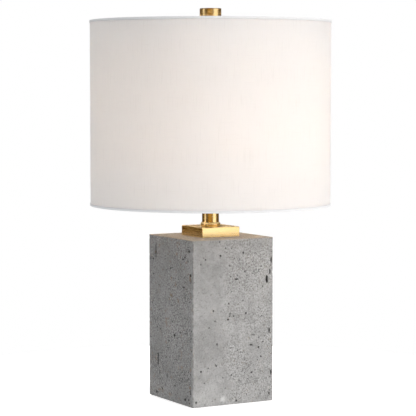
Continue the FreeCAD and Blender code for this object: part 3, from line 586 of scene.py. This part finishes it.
# The casting's larger marks: face, mm right of its middle, mm above the table, and kind
BLOCK_MARKS = [
    ("front", 53, 169, "gouge"),
    ("front", 58, 179, "slit"),
    ("front", 60, 195, "slit"),
    ("front", 57, 98, "slit"),
    ("front", 60, 40, "slit"),
    ("front", 57, 11, "pit"),
    ("front", 28, 80, "scrape"),
    ("front", 40, 76, "pit"),
    ("front", 33, 93, "pinhole"),
    ("front", 47, 83, "pinhole"),
    ("front", 20, 124, "pit"),
    ("front", 40, 131, "pinhole"),
    ("front", 45, 119, "pinhole"),
    ("front", -8, 117, "pit"),
    ("front", -6, 121, "pinhole"),
    ("front", -20, 204, "pit"),
    ("front", -4, 175, "pinhole"),
    ("front", 5, 171, "scrape"),
    ("front", -50, 49, "pit"),
    ("front", -45, 33, "pinhole"),
    ("front", 5, 5, "pit"),
    ("front", 29, 42, "pit"),
    ("left", -43, 205, "streak"),
    ("left", -37, 54, "streak"),
    ("left", -32, 37, "slit"),
    ("left", -11, 35, "slit"),
    ("left", 52, 211, "crater"),
    ("left", 41, 202, "pit"),
    ("left", 49, 197, "pit"),
    ("left", 35, 199, "scrape"),
    ("left", 0, 184, "pit"),
    ("left", 56, 179, "crater"),
    ("left", 57, 171, "slit"),
    ("left", 37, 161, "scrape"),
    ("left", -51, 193, "pit"),
    ("left", -50, 172, "pit"),
    ("left", 59, 147, "pinhole"),
    ("left", 59, 104, "pit"),
    ("left", 57, 94, "pit"),
    ("left", 10, 93, "crater"),
    ("left", 4, 111, "pit"),
    ("left", -5, 84, "pit"),
    ("left", 59, 77, "pit"),
    ("left", 33, 36, "pit"),
    ("left", 12, 24, "pit"),
    ("left", 56, 21, "slit"),
    ("left", 41, 9, "crater"),
    ("left", 50, 10, "pit"),
    ("left", -41, 8, "crater"),
    ("left", -25, 15, "pit"),
]
PITS_PER_FACE = 95
PIT_SIZES = (0.5, 1.5)

# A pale spot where the paste rose, low on the front face
PALE_SPOT = (-16 * MM, -62.6 * MM, 9 * MM)


def block_pits(low, high):
    """Where the block's air holes are: the marks above, and others spread by chance."""
    chance = random.Random(SEED)
    middle = (low + high) / 2
    pits = [(face, right, up, *MARK_SHAPES[kind]) for face, right, up, kind in BLOCK_MARKS]
    for face in BLOCK_FACES:
        for _ in range(PITS_PER_FACE):
            size = chance.uniform(*PIT_SIZES) * chance.uniform(0.6, 1.0)
            pits.append((
                face,
                chance.uniform(low.x, high.x) / MM * 0.96,
                chance.uniform(low.z, high.z) / MM,
                size * chance.uniform(0.7, 1.1),
                size * chance.uniform(0.8, 1.5),
                size * chance.uniform(0.8, 1.2),
            ))
    placed = []
    for face, right, up, half_width, half_height, depth in pits:
        out, across = BLOCK_FACES[face]
        at = middle + out * (high.x - middle.x) + across * (right * MM)
        at.z = up * MM
        placed.append((out, across, at, half_width * MM, half_height * MM, depth * MM))
    return placed


def block_chips(low, high):
    """Chips off the block's edges, each a ball that bites into the edge: centre and radius."""
    chance = random.Random(SEED + 1)
    chips = []
    for sx in (-1, 1):
        for sy in (-1, 1):
            corner = Vector((sx * high.x, sy * high.y, 0))
            out = Vector((sx, sy, 0)).normalized()
            for _ in range(26):
                radius = chance.uniform(0.8, 3.2) * MM
                bite = chance.uniform(0.45, 0.85) * MM + 0.1 * radius
                at = corner + out * (radius - bite)
                at.z = chance.uniform(low.z, high.z)
                chips.append((at, radius))
    for z, rise in ((high.z, 1), (low.z, -1)):
        for axis in (0, 1):
            for side in (-1, 1):
                out = Vector((0, 0, rise))
                out[1 - axis] = side
                out.normalize()
                for _ in range(14):
                    radius = chance.uniform(0.8, 3.0) * MM
                    bite = chance.uniform(0.45, 0.8) * MM + 0.1 * radius
                    at = Vector((0, 0, z))
                    at[1 - axis] = side * high.x
                    at[axis] = chance.uniform(low.x, high.x)
                    chips.append((at + out * (radius - bite), radius))
    near_top = Vector((low.x, low.y, high.z))
    chips.append((near_top + Vector((-1, -1, 1)).normalized() * 3.2 * MM, 5.2 * MM))
    return chips


def refine(mesh, pits):
    """Divides the faces round each pit, so that its rim is crisp."""
    work = bmesh.new()
    work.from_mesh(mesh)
    work.faces.ensure_lookup_table()
    centres = np.array([f.calc_center_median() for f in work.faces])
    chosen = np.zeros(len(centres), bool)
    for out, across, at, half_width, half_height, _ in pits:
        away = centres - np.array(at)
        flat = abs(away @ np.array(out)) < ON_FACE
        right = away @ np.array(across) / (half_width + PIT_MARGIN)
        chosen |= flat & (right**2 + (away[:, 2] / (half_height + PIT_MARGIN)) ** 2 < 1)
    edges = {e for i in np.flatnonzero(chosen) for e in work.faces[i].edges}
    bmesh.ops.subdivide_edges(work, edges=list(edges), cuts=3, use_grid_fill=True)
    work.to_mesh(mesh)
    work.free()


def cutter(name, points, faces):
    return place_object(name, make_mesh(name, points, faces))


def cylinder_cutter(name, radius, low, high, columns=96):
    outline = [(0, low), (radius, low), (radius, high), (0, high)]
    return cutter(name, *turned(outline, columns))


def carve(thing, tools):
    """Cuts the tools out of a piece and removes them."""
    bpy.context.view_layer.update()
    for tool in tools:
        cut = thing.modifiers.new(tool.name, "BOOLEAN")
        cut.operation = "DIFFERENCE"
        cut.solver = "EXACT"
        cut.object = tool
    graph = bpy.context.evaluated_depsgraph_get()
    carved = bpy.data.meshes.new_from_object(thing.evaluated_get(graph))
    thing.modifiers.clear()
    for tool in tools:
        bpy.data.objects.remove(tool)
    return carved


def cast_block():
    low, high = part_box("concrete_block")
    along = stops(low.x, high.x, BLOCK_STEP, EDGE_STEP, EDGE_BAND)
    up = stops(low.z, high.z, BLOCK_STEP, EDGE_STEP, EDGE_BAND)
    mesh = bpy.data.meshes.new("cast_block")
    points, faces = lattice_box(along, along, up)
    mesh.from_pydata(points, [], faces)
    pits = block_pits(low, high)
    refine(mesh, pits)

    flat = np.empty(3 * len(mesh.vertices))
    mesh.vertices.foreach_get("co", flat)
    at = flat.reshape(-1, 3)
    inner = np.clip(at, np.array(low) + EDGE_ROUND, np.array(high) - EDGE_ROUND)
    out = at - inner
    out /= np.linalg.norm(out, axis=1)[:, None]
    sink = np.zeros(len(at))
    pit_shade = np.zeros(len(at))
    for face_out, across, centre, half_width, half_height, depth in pits:
        away = at - np.array(centre)
        near = abs(away @ np.array(face_out)) < ON_FACE
        right = away @ np.array(across) / half_width
        reach = np.sqrt(right**2 + (away[:, 2] / half_height) ** 2)
        inside = near & (reach < 1)
        dip = depth * np.sqrt(1 - reach[inside] ** 2.0)
        sink[inside] = np.maximum(sink[inside], dip)
        # How deep each point sits in a pit, for the painted shade inside the pits.
        pit_shade[inside] = np.maximum(pit_shade[inside], np.minimum(dip / PIT_SHADE_DEPTH, 1))
    waves = np.array([
        0.07 * (1 + noise.noise(Vector(p) * 28)) + 0.05 * (1 + noise.noise(Vector(p) * 160))
        for p in at
    ])
    at = inner + out * (EDGE_ROUND - waves * MM - sink)[:, None]
    for centre, radius in block_chips(low, high):
        away = at - np.array(centre)
        gap = np.linalg.norm(away, axis=1)
        inside = gap < radius
        rough = 1 + 0.1 * np.array([noise.noise(Vector(p) * 900) for p in at[inside]])
        at[inside] = np.array(centre) + away[inside] * (radius * rough / gap[inside])[:, None]
    mesh.vertices.foreach_set("co", at.ravel())
    shown = mesh.attributes.new("pit_shade", "FLOAT", "POINT")
    shown.data.foreach_set("value", pit_shade)

    raw = place_object("raw_block", mesh)
    pad_low, pad_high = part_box("felt_base_pad")
    pocket_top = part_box("bottom_washer")[1].z
    recess = lattice_box(
        [pad_low.x - RECESS_GAP, pad_high.x + RECESS_GAP],
        [pad_low.y - RECESS_GAP, pad_high.y + RECESS_GAP],
        [low.z - MM, pad_high.z],
    )
    inlet_low, inlet_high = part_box("cord_grommet")
    inlet = cylinder_cutter("inlet_tool", INLET_RADIUS, 0, high.y + MM, 64)
    inlet.data.transform(inlet_turn((inlet_low.z + inlet_high.z) / 2))
    carved = carve(raw, [
        cutter("recess_tool", *recess),
        cylinder_cutter("pocket_tool", POCKET_RADIUS, low.z, pocket_top),
        cylinder_cutter("bore_tool", BORE_RADIUS, low.z, high.z + MM, 64),
        inlet,
    ])
    bpy.data.objects.remove(raw)
    return piece("cast_block", carved, concrete(), "base", ["concrete_block"], 50.0)


def inlet_turn(height):
    """Lays a cylinder about Z along +Y, at a height."""
    lay = Matrix.Rotation(-math.pi / 2, 4, "X")
    return Matrix.Translation((0, 0, height)) @ lay


# ---- felt pad


def base_felt():
    low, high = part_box("felt_base_pad")
    corner = 4 * MM
    along = stops(low.x, high.x, 2.0 * MM, 0.6 * MM, 4.2 * MM)
    up = np.linspace(low.z, high.z, 4)
    points, faces = lattice_box(along, along, up)
    shaped = []
    for x, y, z in points:
        inner_x = min(max(x, low.x + corner), high.x - corner)
        inner_y = min(max(y, low.y + corner), high.y - corner)
        inner = Vector((inner_x, inner_y))
        out = Vector((x, y)) - inner
        if out.length > 0:
            reach = min(out.length, corner)
            fuzz = 0.12 * MM * (1 + noise.noise(Vector((x, y, z)) * 700)) * (reach / corner)
            out = out.normalized() * (reach - fuzz)
        at = inner + out
        shaped.append((at.x, at.y, z))
    mesh = make_mesh("base_felt", shaped, faces)
    pad = piece("base_felt", mesh, felt(), "base", ["felt_base_pad"], 50.0)
    return pad


# ---- shade


def seam_rise(along, thick):
    """How far the strip's outer layer stands out, along radians from the seam's start."""
    run = SEAM_RISE_RUN / SHADE_RADIUS
    return (thick + 0.05 * MM) * smoothstep((along - 2 * math.pi + run) / run)


def sway(angle, z):
    """The drum's slight unevenness, always outwards."""
    ring = Vector((math.cos(angle), math.sin(angle), z * 9))
    return 0.11 * MM * (1 + noise.noise(ring * 2.3)) + 0.03 * MM * (1 + noise.noise(ring * 9))


def rolled_strip(inner, thick, low, high, columns=420, rows=56):
    """A strip rolled into a drum, the last of it glued over the first: points and faces of a closed sheet."""
    sweep = 2 * math.pi + SEAM_LAP / SHADE_RADIUS
    start = SEAM_ANGLE - SEAM_LAP / SHADE_RADIUS / 2
    heights = spread(low, high, rows)
    points = []
    for i in range(columns + 1):
        along = sweep * i / columns
        angle = start + along
        for side in (0, thick):
            for z in heights:
                r = inner + side + seam_rise(along, thick) + sway(angle, z)
                points.append((r * math.cos(angle), r * math.sin(angle), z))
    layer = rows + 1
    column = 2 * layer
    faces = []
    for i in range(columns):
        a, b = i * column, (i + 1) * column
        for k in range(rows):
            faces.append((a + k, a + k + 1, b + k + 1, b + k))
            faces.append((a + layer + k, b + layer + k, b + layer + k + 1, a + layer + k + 1))
        faces.append((a, b, b + layer, a + layer))
        faces.append((a + rows, a + rows + layer, b + rows + layer, b + rows))
    for a in (0, columns * column):
        for k in range(rows):
            faces.append((a + k, a + layer + k, a + layer + k + 1, a + k + 1))
    return points, faces


def hem(name, node, edge_z, inwards, material):
    """A rolled band over one edge of the drum, a little puckered. inwards points into the drum."""
    low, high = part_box(node)
    outer = high.x
    back = (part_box("shade_liner")[1].x + SHADE_RADIUS) / 2
    band = outer - SHADE_RADIUS
    height = high.z - low.z
    folded = edge_z - inwards * band
    outline = rounded([
        (outer, folded, 0.45 * MM),
        (outer, folded + inwards * height, 0.2 * MM),
        (SHADE_RADIUS, folded + inwards * height, 0),
        (SHADE_RADIUS, edge_z, 0),
        (back, edge_z, 0),
        (back, folded, 0.3 * MM),
    ], 3)

    def shape(r, z, angle):
        along = (angle - SEAM_ANGLE + SEAM_LAP / SHADE_RADIUS / 2) % (2 * math.pi)
        past_lap = along * SHADE_RADIUS - SEAM_LAP
        lap = max(seam_rise(along, LINEN_THICK), LINEN_THICK * smoothstep(1 - past_lap / SEAM_FALL_RUN))
        ring = Vector((math.cos(angle), math.sin(angle), z))
        pucker = 0.07 * MM * noise.noise(ring * 60) if r > SHADE_RADIUS else 0
        return r + lap + sway(angle, z) + pucker

    mesh = make_mesh(name, *turned(outline, 900, shape))
    return piece(name, mesh, material, "shade", [node], 60.0)


def shade():
    low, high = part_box("shade_fabric")
    liner_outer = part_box("shade_liner")[1].x
    band = linen("hem_linen", HEM_PALE, HEM_SLUB, LINEN_PITCH, HEM_SEE_THROUGH, HEM_GLOW)
    hems = [
        hem("top_hem", "top_trim", high.z, -1, band),
        hem("bottom_hem", "bottom_trim", low.z, 1, band),
    ]
    liner = rolled_strip(liner_outer - LINER_THICK, LINER_THICK, low.z, high.z)
    lining = piece(
        "styrene_liner", make_mesh("styrene_liner", *liner), styrene(), "shade", ["shade_liner"]
    )
    cloth = rolled_strip(SHADE_RADIUS - LINEN_THICK - 0.1 * MM, LINEN_THICK, low.z, high.z)
    material = linen("shade_linen", LINEN_PALE, LINEN_SLUB, LINEN_PITCH, LINEN_SEE_THROUGH, LINEN_GLOW)
    drum = piece(
        "linen_drum", make_mesh("linen_drum", *cloth), material, "shade", ["shade_fabric"]
    )
    return drum


# ---- metal


def finial():
    low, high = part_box("finial_cap")
    bush_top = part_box("finial_bush")[1]
    radius = high.x
    bore = bush_top.x + 0.05 * MM
    foot = radius - 0.4 * MM
    corners = [(bore, low.z, 0), (foot, low.z, 0.3 * MM), (foot, low.z + 1.2 * MM, 0)]
    corners.append((radius, low.z + 1.6 * MM, 0.2 * MM))
    for share in (0.30, 0.46, 0.62, 0.78):
        z = low.z + share * (high.z - low.z)
        corners += [
            (radius, z - 0.4 * MM, 0),
            (radius - 0.03 * MM, z, 0),
            (radius, z + 0.4 * MM, 0),
        ]
    corners += [(radius, high.z, 0.9 * MM), (0, high.z, 0), (0, bush_top.z + 0.05 * MM, 0)]
    corners.append((bore, bush_top.z + 0.05 * MM, 0))
    mesh = make_mesh("turned_finial", *turned(rounded(corners), 160))
    return piece("turned_finial", mesh, FINIAL_BRASS, "finial", ["finial_cap"], 40.0)


def stud():
    low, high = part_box("harp_stud")
    radius = high.x
    cut = helix_cut(STUD_THREAD, low.z + 2.5 * MM, high.z - 0.3 * MM)
    outline = [(0, low.z)]
    outline += [(radius, z) for z in spread(low.z, high.z - 0.5 * MM, 120)]
    outline += [(radius - 0.5 * MM, high.z), (0, high.z)]
    points = turned(outline, 48, lambda r, z, angle: r - cut(z, angle) if r > 0 else 0)
    mesh = make_mesh("threaded_stud", *points)
    return piece("threaded_stud", mesh, HARP_BRASS, "base", ["harp_stud"], 60.0)


def bulb_screw_cap():
    """The bulb's rolled aluminium screw cap."""
    low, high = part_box("bulb_cap")
    radius = high.x
    foot = radius - 2.2 * MM
    wall = 0.7 * MM
    skirt = high.z - 3.0 * MM
    shoulder = low.z + 2.5 * MM
    cut = helix_cut(BULB_THREAD, shoulder, skirt)
    outline = [(foot - 2 * MM, low.z), (foot, low.z)]
    outline += [(radius, z) for z in spread(shoulder, high.z, 110)]
    outline += [(radius - wall, high.z), (radius - wall, shoulder), (foot - 0.4 * MM, low.z + 0.4 * MM)]
    outline.append((foot - 2 * MM, low.z + 0.4 * MM))
    points = turned(outline, 96, lambda r, z, angle: r - cut(z, angle) if r == radius else r)
    mesh = make_mesh("bulb_screw_cap", *points)
    return piece("bulb_screw_cap", mesh, aluminium(), "bulb", ["bulb_cap"], 60.0)


def socket_screw_shell():
    """The socket's threaded cup, in step with the bulb's thread."""
    low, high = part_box("screw_shell")
    outer = high.x
    bore = outer - 0.5 * MM
    floor = 0.5 * MM
    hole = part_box("bulb_contact")[1].x + 4 * MM
    cut = helix_cut(SHELL_THREAD, low.z + 3 * MM, high.z)
    outline = [(hole, low.z)]
    outline += [(outer, z) for z in spread(low.z, high.z, 110)]
    outline += [(bore, z) for z in spread(high.z, low.z + floor, 110)]
    outline.append((hole, low.z + floor))
    points = turned(outline, 96, lambda r, z, angle: r - cut(z, angle) if r >= bore else r)
    mesh = make_mesh("socket_screw_shell", *points)
    return piece("socket_screw_shell", mesh, SOCKET_BRASS, "base", ["screw_shell"], 60.0)


def filament():
    """The coiled tungsten wire, arching between its lead wires."""
    low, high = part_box("bulb_filament")
    wire = 0.12 * MM
    coil = (high.y - low.y) / 2 - wire
    reach = (high.x - low.x) / 2 - coil
    sag = high.z - low.z - 2 * (coil + wire)
    turns = 34
    steps = 10
    curve = bpy.data.curves.new("filament_coil", "CURVE")
    curve.dimensions = "3D"
    curve.bevel_depth = wire
    curve.bevel_resolution = 2
    spline = curve.splines.new("POLY")
    spline.points.add(turns * steps)
    for i, point in enumerate(spline.points):
        t = i / (turns * steps)
        angle = 2 * math.pi * i / steps
        x = reach * (2 * t - 1)
        middle = low.z + coil + wire + sag * (1 - (x / reach) ** 2)
        point.co = (x, coil * math.cos(angle), middle + coil * math.sin(angle), 1)
    material = brushed("tungsten_wire", (0.30, 0.29, 0.28), (0.42, 0.41, 0.40), (900, 900, 900), (0.3, 0.5))
    return piece("filament_coil", curve, material, "bulb", ["bulb_filament"])


# ---- setting


def aim(azimuth, elevation):
    a, e = math.radians(azimuth), math.radians(elevation)
    return Vector((math.sin(a) * math.cos(e), -math.cos(a) * math.cos(e), math.sin(e)))


def softbox(name, azimuth, elevation, width, height, radiance, colour=(1, 1, 1), matt=True, gloss=True):
    """A rectangular light that looks at the middle of the lamp, for matt surfaces, reflections or both."""
    light = bpy.data.lights.new(name, "AREA")
    light.shape = "RECTANGLE"
    light.size = width
    light.size_y = height
    light.energy = radiance * math.pi * width * height
    light.color = colour
    thing = bpy.data.objects.new(name, light)
    bpy.context.scene.collection.objects.link(thing)
    out = aim(azimuth, elevation)
    thing.location = Vector((0, 0, LAMP_MIDDLE)) + out * SOFTBOX_DISTANCE
    thing.rotation_mode = "QUATERNION"
    thing.rotation_quaternion = out.to_track_quat("Z", "Y")
    thing.visible_camera = False
    thing.visible_diffuse = matt
    thing.visible_transmission = matt
    thing.visible_glossy = gloss
    return thing


def studio_world():
    """White to the camera, a soft even fill on matt surfaces, and darker in reflections."""
    world = bpy.data.worlds.new("studio")
    bpy.context.scene.world = world
    world.use_nodes = True
    tree = world.node_tree
    tree.nodes.clear()
    path = tree.nodes.new("ShaderNodeLightPath")
    seen = tree.nodes.new("ShaderNodeBackground")
    fill = tree.nodes.new("ShaderNodeBackground")
    dark = tree.nodes.new("ShaderNodeBackground")
    white = (1, 1, 1, 1)
    backgrounds = ((seen, white, 1.0), (fill, white, WORLD_FILL), (dark, STUDIO_DARK, 1.0))
    for background, colour, strength in backgrounds:
        background.inputs["Color"].default_value = colour
        background.inputs["Strength"].default_value = strength
    matt = tree.nodes.new("ShaderNodeMixShader")
    whole = tree.nodes.new("ShaderNodeMixShader")
    out = tree.nodes.new("ShaderNodeOutputWorld")
    tree.links.new(path.outputs["Is Glossy Ray"], matt.inputs[0])
    tree.links.new(fill.outputs[0], matt.inputs[1])
    tree.links.new(dark.outputs[0], matt.inputs[2])
    tree.links.new(path.outputs["Is Camera Ray"], whole.inputs[0])
    tree.links.new(matt.outputs[0], whole.inputs[1])
    tree.links.new(seen.outputs[0], whole.inputs[2])
    tree.links.new(whole.outputs[0], out.inputs["Surface"])


def floor():
    """A plain pale table top."""
    outline = [(0, -20 * MM), (FLOOR_RADIUS, -20 * MM), (FLOOR_RADIUS, 0), (0, 0)]
    mesh = make_mesh("table_top", *turned(outline, 128))
    g = Shading("pale_table")
    tone = g.noise(g.place(), 9.0, 4.0, 0.5)
    colour = g.blend(g.fit(tone, 0.3, 0.7), (0.86, 0.86, 0.86), (0.88, 0.88, 0.88))
    mesh.materials.append(g.finish(g.principled(
        colour,
        Roughness=0.9,
        Specular_IOR_Level=0.1,
        Emission_Color=(1, 1, 1, 1),
        Emission_Strength=FLOOR_GLOW,
    )))
    place_object("table_top", mesh)


def camera():
    data = bpy.data.cameras.new("camera")
    data.lens = LENS
    data.sensor_width = SENSOR
    thing = bpy.data.objects.new("camera", data)
    bpy.context.scene.collection.objects.link(thing)
    a = CAMERA_AZIMUTH
    thing.location = (CAMERA_DISTANCE * math.sin(a), -CAMERA_DISTANCE * math.cos(a), CAMERA_HEIGHT)
    thing.rotation_euler = (math.pi / 2 - CAMERA_PITCH, 0, a + CAMERA_YAW)
    bpy.context.scene.camera = thing


def dress_nodes(finishes):
    """Gives CAD nodes their materials."""
    for material, nodes in finishes:
        for name in nodes:
            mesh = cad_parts[name].data
            mesh.materials.clear()
            mesh.materials.append(material)


PLINTH_BRASS = brushed("plinth_brass", BRASS_DEEP, BRASS_PALE, (30, 30, 2600), (0.25, 0.29))
NECK_BRASS = brushed("neck_brass", BRASS_DEEP, BRASS_PALE, (60, 60, 1500), (0.22, 0.28))
FINIAL_BRASS = brushed("finial_brass", BRASS_DEEP, BRASS_PALE, (60, 60, 1800), (0.25, 0.33))
BEAD_BRASS = brushed("bead_brass", BRASS_DEEP, BRASS_PALE, (80, 80, 1500), (0.18, 0.3))
HARP_BRASS = brushed("drawn_brass", (0.66, 0.46, 0.20), (0.80, 0.60, 0.30), (400, 400, 60), (0.2, 0.34))
SOCKET_BRASS = brushed("socket_brass", (0.62, 0.44, 0.20), (0.78, 0.58, 0.30), (90, 90, 900), (0.22, 0.4))

cast_block()
base_felt()
shade()
finial()
stud()
bulb_screw_cap()
socket_screw_shell()
filament()

STEEL = zinc_steel()
dress_nodes([
    (moulded("grommet_rubber", (0.012, 0.012, 0.012), (0.03, 0.03, 0.03), 0.55), ["cord_grommet"]),
    (HARP_BRASS, ["lamp_pipe", "harp_bow", "harp_seat", "ferrule_left", "ferrule_right"]),
    (STEEL, ["bottom_washer", "lock_washer", "bottom_nut", "neck_nut", "harp_saddle"]),
    (STEEL, ["socket_set_screw", "switch_rotor", "switch_shaft"]),
    (PLINTH_BRASS, ["brass_plinth"]),
    (BEAD_BRASS, ["bead_ring"]),
    (NECK_BRASS, ["neck_tube", "neck_cap"]),
    (SOCKET_BRASS, ["socket_hub", "socket_cap", "socket_shell", "terminal_screws", "centre_contact"]),
    (card(), ["socket_liner"]),
    (moulded("phenolic", (0.016, 0.013, 0.011), (0.045, 0.036, 0.03), 0.42), ["socket_body"]),
    (moulded("knob_phenolic", (0.010, 0.009, 0.009), (0.03, 0.026, 0.024), 0.3, 0.5, 0.3), ["turn_knob"]),
    (moulded("white_enamel", (0.72, 0.72, 0.71), (0.80, 0.80, 0.79), 0.3, 0.5, 0.4),
     ["top_ring", "bottom_ring", "spider_arms", "spider_washer"]),
    (FINIAL_BRASS, ["finial_bush"]),
    (brushed("solder", (0.42, 0.42, 0.43), (0.62, 0.62, 0.63), (500, 500, 500), (0.3, 0.5)),
     ["bulb_contact"]),
    (moulded("black_glass", (0.008, 0.008, 0.010), (0.02, 0.02, 0.024), 0.12), ["bulb_insulator"]),
    (frosted_glass(), ["bulb_glass"]),
    (clear_glass(), ["bulb_stem"]),
    (brushed("lead_wire", (0.40, 0.36, 0.32), (0.58, 0.52, 0.46), (700, 700, 90), (0.25, 0.4)),
     ["bulb_lead_wires"]),
])

studio_world()
floor()
camera()
softbox("key", 31, 14, 1.3, 1.9, 4.3, (1.0, 0.985, 0.97), gloss=False)
softbox("front", 3, 12, 1.4, 1.6, 2.6, (1.0, 0.965, 0.93), gloss=False)
softbox("side", -89, 8, 0.5, 1.9, 3.7, (0.90, 0.955, 1.0), gloss=False)
softbox("top", -29, 84, 2.4, 2.4, 2.0, gloss=False)
softbox("key_card", 29, 6, 2.2, 2.2, 1.45, (1.0, 0.99, 0.98), matt=False)
softbox("side_card", -106, 4, 0.8, 2.2, 1.15, (1.0, 0.99, 0.98), matt=False)
softbox("front_card", -34, 3, 2.2, 2.2, 1.0, (0.36, 0.20, 0.03), matt=False)
bpy.context.scene.view_settings.view_transform = "Standard"
